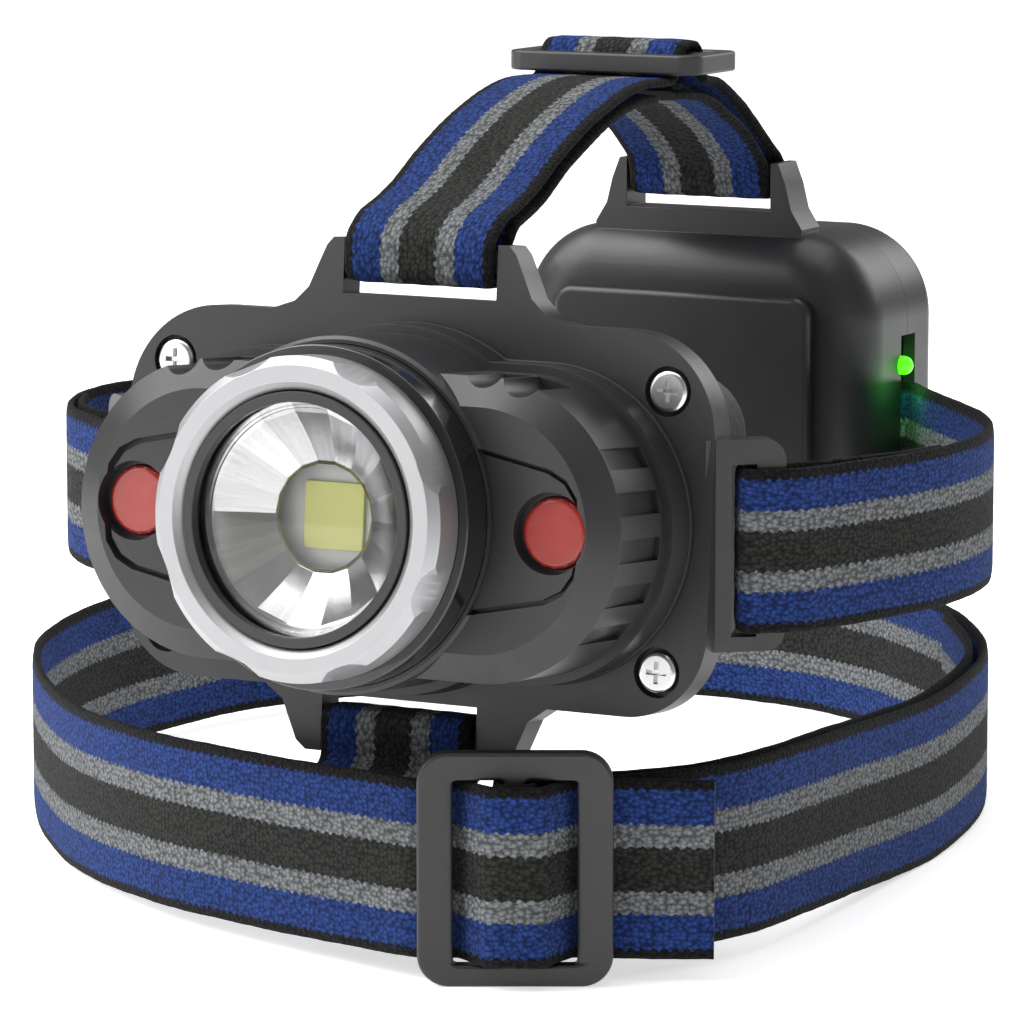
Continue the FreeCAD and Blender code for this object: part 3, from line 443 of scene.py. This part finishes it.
# ---------------------------------------------------------------- straps
STRAP_THICK = 1.42
STRAP_STEP = 0.8
STRAP_EASE = 9.0
EDGE_BULGE = 0.28
EDGE_ROLL = 0.9
STRAIGHT_RUN = 1e3
FOLD_RADIUS = 6.0
FOLD_CLEAR, FOLD_FADE = 3.0, 18.0


def unit(v):
    return v / np.linalg.norm(v)


def rounded_route(route):
    """Straight runs joined by tangent arcs, as close points; and how tight each point's arc is."""
    points = [np.array(route[0][:2], float)]
    tight = [STRAIGHT_RUN]
    for before, corner, after in zip(route, route[1:], route[2:]):
        a, b, c = (np.array(p[:2], float) for p in (before, corner, after))
        radius = corner[2]
        into, out = unit(b - a), unit(c - b)
        turn = math.acos(max(-1.0, min(1.0, float(into @ out))))
        trim = radius * math.tan(turn / 2)
        centre = b + unit(out - into) * radius / math.cos(turn / 2)
        start = b - into * trim - centre
        sign = 1.0 if into[0] * out[1] - into[1] * out[0] > 0 else -1.0
        steps = max(3, int(math.degrees(turn) / 3.0))
        for k in range(steps + 1):
            angle = sign * turn * k / steps
            spin = np.array([[math.cos(angle), -math.sin(angle)], [math.sin(angle), math.cos(angle)]])
            points.append(centre + spin @ start)
            tight.append(radius)
    points.append(np.array(route[-1][:2], float))
    tight.append(STRAIGHT_RUN)
    return np.array(points), np.array(tight)


def even_route(route):
    """The route at even steps and each point's distance along it; gentle bends are eased, folds stay."""
    points, tight = rounded_route(route)
    gaps = np.linalg.norm(np.diff(points, axis=0), axis=1)
    keep = np.concatenate([[True], gaps > 1e-6])
    points, tight = points[keep], tight[keep]
    length = np.concatenate([[0.0], np.cumsum(np.linalg.norm(np.diff(points, axis=0), axis=1))])
    count = int(length[-1] / STRAP_STEP) + 1
    s = np.linspace(0.0, length[-1], count)
    fine = np.stack([np.interp(s, length, points[:, k]) for k in (0, 1)], axis=1)
    folds = length[tight < FOLD_RADIUS]
    reach = np.minimum(s, length[-1] - s)
    if len(folds):
        reach = np.minimum(reach, np.abs(s[:, None] - folds[None, :]).min(axis=1))
    mask = np.clip((reach - FOLD_CLEAR) / FOLD_FADE, 0.0, 1.0)[:, None]
    half = int(3 * STRAP_EASE / STRAP_STEP)
    kernel = np.exp(-0.5 * (np.arange(-half, half + 1) * STRAP_STEP / STRAP_EASE) ** 2)
    kernel /= kernel.sum()
    before = 2 * fine[:1] - fine[half:0:-1]
    after = 2 * fine[-1:] - fine[-2:-half - 2:-1]
    padded = np.concatenate([before, fine, after])
    smoothed = np.stack([np.convolve(padded[:, k], kernel, "valid") for k in (0, 1)], axis=1)
    fine = fine * (1 - mask) + smoothed * mask
    s = np.concatenate([[0.0], np.cumsum(np.linalg.norm(np.diff(fine, axis=0), axis=1))])
    return fine, s


def ripple(s, seed, pitch, size):
    """Smooth, repeatable unevenness along a strap."""
    value = np.zeros_like(s)
    for k, share in ((1.0, 0.5), (2.3, 0.3), (5.1, 0.2)):
        value += share * np.sin(s * k * 2 * math.pi / pitch + seed * 1.7 * k)
    return value * size


def strap_section(width):
    """A strap's cross-section: two faces that roll over towards thin, slightly bulging edges."""
    half = STRAP_THICK / 2
    lip = 0.28 * half
    across = np.linspace(0.0, 1.0, 25)
    low_edge = np.exp(-((across * width) / EDGE_ROLL) ** 2)
    high_edge = np.exp(-(((1 - across) * width) / EDGE_ROLL) ** 2)
    roll = 1.0 - 0.30 * low_edge - 0.30 * high_edge
    face = [(half * r, w * width) for w, r in zip(across, roll)]
    back = [(-a, w) for a, w in reversed(face)]
    section = face + [(lip, width + EDGE_BULGE), (-lip, width + EDGE_BULGE)]
    section += back + [(-lip, -EDGE_BULGE), (lip, -EDGE_BULGE)]
    return np.array(section)


def strap(name, node, route, place, width, seed, material):
    """A webbing strap swept along its route; place(u, v, w) puts a point in the lamp frame."""
    line, s = even_route(route)
    tangent = np.gradient(line, axis=0)
    tangent /= np.linalg.norm(tangent, axis=1)[:, None]
    normal = np.stack([-tangent[:, 1], tangent[:, 0]], axis=1)
    section = strap_section(width)
    ring = len(section)
    low = ripple(s, seed, 23.0, 0.16) + ripple(s, seed + 5, 2.1, 0.05)
    high = ripple(s, seed + 2, 27.0, 0.16) + ripple(s, seed + 7, 1.9, 0.05)
    vertices, faces, uv = [], [], []
    for i in range(len(s)):
        w = EDGE_BULGE + section[:, 1] * (width - 2 * EDGE_BULGE) / width
        share = np.clip(w / width, 0, 1)
        w = w + low[i] * (1 - share) * 0.5 + high[i] * share * 0.5
        a = section[:, 0] * (1.0 + 0.05 * np.sin(s[i] * 2.9 + w * 1.3))
        u = line[i, 0] + normal[i, 0] * a
        v = line[i, 1] + normal[i, 1] * a
        vertices += [place(u[k], v[k], w[k]) for k in range(ring)]
        uv.append(np.stack([np.full(ring, s[i] + seed * 3.1), section[:, 1]], axis=1))
    for i in range(len(s) - 1):
        for k in range(ring):
            j = (k + 1) % ring
            faces.append((i * ring + k, (i + 1) * ring + k, (i + 1) * ring + j, i * ring + j))
    last = (len(s) - 1) * ring
    faces.append(tuple(range(ring)))
    faces.append(tuple(last + k for k in reversed(range(ring))))
    piece = object_from(name, vertices, faces, material)
    mesh = piece.data
    layer = mesh.uv_layers.new(name="strap")
    flat = np.concatenate(uv)
    index = np.zeros(len(mesh.loops), np.int32)
    mesh.loops.foreach_get("vertex_index", index)
    layer.data.foreach_set("uv", flat[index].astype(np.float32).ravel())
    built = bmesh.new()
    built.from_mesh(mesh)
    bmesh.ops.recalc_face_normals(built, faces=built.faces[:])
    built.to_mesh(mesh)
    built.free()
    mesh.materials.append(looks["rubber_black"])
    for polygon in list(mesh.polygons)[-2:]:
        polygon.material_index = 1
        polygon.use_smooth = False
    return settle(piece, node)


def lug_point(side, along, front, radius):
    x = LUG_BASE_X + along * math.cos(LUG_ANGLE) + front * math.sin(LUG_ANGLE)
    y = LUG_BASE_Y + along * math.sin(LUG_ANGLE) - front * math.cos(LUG_ANGLE)
    return side * x, y, radius


def slider_point(along, out, radius):
    x = SLIDER_X + along * math.cos(SLIDER_TURN) + out * math.sin(SLIDER_TURN)
    y = SLIDER_Y + along * math.sin(SLIDER_TURN) - out * math.cos(SLIDER_TURN)
    return x, y, radius


def head_route(side, inner, outer):
    """From the inner layer round the lug's bar, and back to the slot in the battery box."""
    layer = 2.8
    route = inner + [lug_point(side, 9.6, -layer, 3.0), lug_point(side, 2.6, -layer, 1.4)]
    route += [lug_point(side, 2.6, layer, 1.4), lug_point(side, 10.8, layer, 8.0)] + outer
    route += [(side * 32.6, 103.4, 3.0), (side * 24.7, 103.85, 1.6)]
    return route + [(side * 24.7, 107.75, 1.6), (side * 28.6, 107.75, 0.0)]


def in_plan(base):
    """Places a strap that stands on edge: its route lies flat, its width runs up from a height."""
    def put(u, v, w):
        return STRAIGHT @ Vector((u, v, base + w))
    return put


def eased(value):
    t = max(0.0, min(1.0, value))
    return t * t * (3 - 2 * t)


BUCKLE_LIFT = 3.7
FAR_LIFT = 1.2


def on_floor(u, v, w):
    """The lower band stands on the floor, and rises towards its buckle, its tail and its far side."""
    right = eased((u + 10.0) / 40.0)
    ahead = max(0.0, 0.287 * u - 0.958 * v + 42.0 + 22.0 * right)
    lift = BUCKLE_LIFT * (1.0 - math.exp(-((ahead / 48.0) ** 1.35)))
    lift += FAR_LIFT * eased((v - 70.0) / 80.0)
    return STRAIGHT @ Vector((u, v, FLOOR_Z + w + lift))


def in_profile(middle_x):
    """Places a strap that lies across: its route is seen from the side, its width runs to the right."""
    def put(u, v, w):
        return STRAIGHT @ Vector((w - WEB_WIDTH / 2 + middle_x, u, v))
    return put


RIGHT_OUTER = [(64.8, 24.0, 40), (67.9, 41.0, 40), (66.7, 56.0, 30), (58.6, 74.0, 45), (41.7, 91.8, 60)]
RIGHT_INNER = [(65.6, 38.5, 0), (62.7, 24.6, 30)]
LEFT_OUTER = [(-70.6, 15.5, 14), (-77.6, 30.4, 24), (-79.5, 46.0, 26), (-73.4, 64.4, 40)]
LEFT_OUTER += [(-50.9, 89.2, 60)]
LEFT_INNER = [(-75.2, 30.0, 0), (-68.8, 17.0, 12)]

TOP_ROUTE = [(54.0, 56.4, 0.0), (47.4, 56.5, 47.7), (31.3, 53.1, 47.7), (18.2, 44.3, 32.3)]
TOP_ROUTE += [(8.4, 41.1, 4.0), (6.35, 38.3, 3.0), (6.35, 33.3, 1.6), (1.0, 33.3, 1.6), (1.3, 39.4, 4.0)]
TOP_ROUTE += [(5.4, 42.6, 8.0), (17.2, 46.4, 30.0), (30.4, 55.3, 50.0), (47.2, 58.8, 50.0)]
TOP_ROUTE += [(60.0, 58.6, 2.4), (63.4, 64.0, 2.4), (68.4, 64.0, 2.4), (70.4, 58.2, 2.4)]
TOP_ROUTE += [(75.0, 58.2, 12.0), (86.0, 53.2, 20.0)]
TOP_ROUTE += [(99.35, 43.6, 6.0), (99.35, 38.6, 1.7), (93.05, 38.6, 1.7), (93.05, 43.4, 6.0)]
TOP_ROUTE += [(85.0, 50.5, 20.0), (74.0, 55.9, 20.0), (60.0, 56.5, 0.0)]

HANGER_ROUTE = [(-12.4, -56.0, 0.0), (-12.4, -42.6, 3.0), (0.85, -37.0, 2.4), (0.85, -29.5, 1.6)]
HANGER_ROUTE += [(-5.05, -29.5, 1.6), (-5.05, -36.6, 2.4), (-14.5, -41.2, 3.0), (-14.5, -56.0, 0.0)]

BAND_ROUTE = [slider_point(28.0, -1.7, 0), slider_point(15.0, -2.6, 20), slider_point(8.0, -2.6, 1.5)]
BAND_ROUTE += [slider_point(3.4, 4.5, 1.6), slider_point(-3.4, 4.5, 1.6), slider_point(-8.0, -2.6, 1.5)]
BAND_ROUTE += [slider_point(-14.5, -2.6, 8), (-12, -17.8, 60), (-38, -9.2, 80), (-63, 8.6, 80)]
BAND_ROUTE += [(-88.6, 36.5, 70), (-108.3, 65.5, 60), (-117.0, 100, 60), (-110.6, 143, 50)]
BAND_ROUTE += [(-85.5, 175, 50), (-42, 191, 45), (-9, 180, 45), (19.5, 153.6, 45)]
BAND_ROUTE += [(38.2, 124.2, 50), (45, 92.6, 80)]
BAND_ROUTE += [(47.6, 50, 120), (48.9, 16, 25), slider_point(27.5, -10.2, 14), slider_point(15, -4.6, 12)]
BAND_ROUTE += [slider_point(2.5, -4.6, 1.2), slider_point(2.5, 2.5, 1.0), slider_point(-2.5, 2.5, 1.0)]
BAND_ROUTE += [slider_point(-2.5, -6.8, 1.2), slider_point(14, -6.9, 10), slider_point(25.6, -12.2, 12)]
BAND_ROUTE += [(46.5, 16.6, 24), (45.1, 49.2, 110), (42.7, 91.9, 70), (36.1, 123, 45), (18.5, 150.6, 0)]

HEAD_BAND_PLACE = in_plan(-14.1)
RIGHT_ROUTE = head_route(1, RIGHT_INNER, RIGHT_OUTER)
LEFT_ROUTE = head_route(-1, LEFT_INNER, LEFT_OUTER)

strap("right_band", "head_band_right", RIGHT_ROUTE, HEAD_BAND_PLACE, HEAD_BAND_WIDTH, 1, head_webbing)
strap("left_band", "head_band_left", LEFT_ROUTE, HEAD_BAND_PLACE, HEAD_BAND_WIDTH, 2, head_webbing)
strap("crown_strap", "top_strap", TOP_ROUTE, in_profile(0.0), WEB_WIDTH, 3, looks["webbing"])
strap("hanging_tab", "hanger_strap", HANGER_ROUTE, in_profile(HANGER_X), WEB_WIDTH, 4, looks["webbing"])
strap("adjusting_band", "lower_band", BAND_ROUTE, on_floor, LOWER_BAND_WIDTH, 5, band_webbing)


# ---------------------------------------------------------------- reflector
THROAT_R, THROAT_Y = 7.5, -24.5
MOUTH_R = 15.1
BOWL_CURVE = 0.0281
BOWL_STEPS = 12
PER_FACET = 6
STEPPED_RIM = [(15.3, -29.45), (15.5, -29.5), (15.6, -29.75), (15.95, -29.8), (16.05, -30.05)]
STEPPED_RIM += [(16.4, -30.1), (17.0, -30.2), (17.85, -30.15)]
BOWL_BACK = [(17.88, -29.3), (17.0, -29.22), (16.2, -28.8), (14.6, -27.4), (12.6, -25.9)]
BOWL_BACK += [(10.0, -24.8), (8.3, -24.35)]


def bowl_ring(radius, y, faceted):
    """One ring of the bowl; a faceted one runs straight from ridge to ridge."""
    count = FACETS * PER_FACET
    ring = []
    for k in range(count):
        angle = 2 * math.pi * k / count
        across = (k % PER_FACET) / PER_FACET - 0.5
        r = radius
        if faceted:
            r *= math.cos(math.pi / FACETS) / math.cos(2 * math.pi / FACETS * across)
        ring.append(LEANED @ Vector((r * math.cos(angle), y, LENS_AXIS_Z + r * math.sin(angle))))
    return ring


def faceted_reflector():
    """A pressed bowl: long facets, flat across and curved outwards, inside a smooth stepped rim."""
    count = FACETS * PER_FACET
    rings = []
    for step in range(BOWL_STEPS + 1):
        radius = THROAT_R + (MOUTH_R - THROAT_R) * step / BOWL_STEPS
        y = THROAT_Y - BOWL_CURVE * (radius * radius - THROAT_R * THROAT_R)
        rings.append(bowl_ring(radius, y, True))
    rings += [bowl_ring(radius, y, False) for radius, y in STEPPED_RIM + BOWL_BACK]
    vertices = [point for ring in rings for point in ring]
    faces = []
    for i in range(len(rings)):
        for k in range(count):
            j, n = (k + 1) % count, (i + 1) % len(rings)
            faces.append((i * count + k, n * count + k, n * count + j, i * count + j))
    piece = object_from("faceted_bowl", vertices, faces, looks["reflector_chrome"])
    built = bmesh.new()
    built.from_mesh(piece.data)
    bmesh.ops.recalc_face_normals(built, faces=built.faces[:])
    for edge in built.edges:
        first, second = sorted(v.index for v in edge.verts)
        ring = first // count
        ridge = second - first == count and ring < BOWL_STEPS and first % PER_FACET == 0
        around = ring == second // count and BOWL_STEPS <= ring <= BOWL_STEPS + 6
        if ridge or around:
            edge.smooth = False
    built.to_mesh(piece.data)
    built.free()
    return settle(piece, "reflector")


faceted_reflector()

# ---------------------------------------------------------------- moulded and machined parts
softened("front_plate", 0.55)
softened("lamp_housing", 0.35)
softened("lamp_back_cover", 0.5)
softened("bezel_ring", 0.3)
softened("focus_sleeve", 0.25)
softened("lens_retainer", 0.2, 2, material=looks["plastic_dark"])
softened("left_button", 0.35)
softened("right_button", 0.35)
softened("plate_screws", 0.18, 2)
softened("box_screws", 0.18, 2)
softened("housing_gasket", 0.25, 2)
softened("box_inner_shell", 0.5)
softened("box_outer_shell", 0.5)
softened("rear_head_pad", 0.4)
softened("top_slider", 0.7)
softened("lower_slider", 0.9, 4)
softened("led_phosphor", 0.12, 2)
softened("port_flap", 0.3, 2)
softened("lamp_lead_grommet", 0.3, 2)
softened("box_lead_grommet", 0.3, 2)

# The forehead pad is a crowned foam block whose edges are rolled over.
softened("forehead_pad", 2.4, 4, angle=40.0)

for name, obj in frame["nodes"].items():
    obj.data.materials.clear()
    obj.data.materials.append(looks[slot_of_node[name]])


# ---------------------------------------------------------------- stage, lights, camera
FLOOR_HALF = 7.0
CAMERA_PLACE = Vector((0.38293, -0.69353, 0.11908))
CAMERA_AIM = Vector((-0.4627, 0.8739, -0.1488))
LENS_LENGTH = 194.7
SENSOR_WIDTH = 36.0


def stage():
    """A pale floor that fills the view, lit a little from within so that it stays white far away."""
    size = FLOOR_HALF
    corners = [(-size, -size, 0), (size, -size, 0), (size, size, 0), (-size, size, 0)]
    s = Shader("pale_floor", (0.90, 0.90, 0.90), 0.7)
    s.set(s.bsdf, "Emission Color", (1.0, 1.0, 1.0, 1.0))
    far = s.add("VectorMath", {0: s.place()}, operation="LENGTH").outputs["Value"]
    s.link(s.span(far, 0.58, 0.84, start=0.3, end=1.6), "Emission Strength")
    object_from("floor", corners, [(0, 1, 2, 3)], s.material)


def softbox(name, offset, size, power):
    """A rectangular light that faces the object's middle, from an offset in metres."""
    data = bpy.data.lights.new(name, "AREA")
    data.shape = "RECTANGLE"
    data.size, data.size_y = size
    data.energy = power
    light = bpy.data.objects.new(name, data)
    bpy.context.scene.collection.objects.link(light)
    target = SHIFT + Vector((0, 0.03, 0))
    light.location = target + Vector(offset)
    light.rotation_euler = (-Vector(offset)).to_track_quat("-Z", "Y").to_euler()


def indicator_glow():
    """The green light that the indicator throws on the strap beside it."""
    data = bpy.data.lights.new("indicator_glow", "POINT")
    data.energy = 0.0036
    data.color = (0.06, 1.0, 0.10)
    data.shadow_soft_size = 0.003
    light = bpy.data.objects.new("indicator_glow", data)
    bpy.context.scene.collection.objects.link(light)
    light.location = STRAIGHT @ Vector((34.4, 96.5, 10.2))
    light.visible_glossy = False


def studio_air():
    """An even white surround."""
    world = bpy.data.worlds.new("studio")
    bpy.context.scene.world = world
    world.use_nodes = True
    background = next(n for n in world.node_tree.nodes if n.type == "BACKGROUND")
    background.inputs["Color"].default_value = (1.0, 1.0, 1.0, 1.0)
    background.inputs["Strength"].default_value = 0.24


def viewpoint():
    """The camera, to the right of the lamp's front and a little above it."""
    data = bpy.data.cameras.new("camera")
    data.lens = LENS_LENGTH
    data.sensor_width = SENSOR_WIDTH
    data.clip_end = 30.0
    camera = bpy.data.objects.new("camera", data)
    bpy.context.scene.collection.objects.link(camera)
    camera.location = SHIFT + CAMERA_PLACE
    camera.rotation_euler = CAMERA_AIM.to_track_quat("-Z", "Y").to_euler()
    bpy.context.scene.camera = camera


stage()
softbox("key", (-0.85, -0.40, 0.95), (1.3, 1.0), 19.0)
softbox("wash", (-1.0, -1.0, 0.35), (0.8, 1.0), 4.8)
softbox("fill", (0.95, -0.65, 0.35), (0.5, 0.8), 0.3)
softbox("top", (-0.20, -0.05, 1.1), (1.2, 1.2), 9.0)
softbox("rim", (0.45, 0.95, 0.5), (0.9, 0.5), 4.0)
indicator_glow()
studio_air()
viewpoint()
bpy.context.scene.view_settings.view_transform = "Standard"
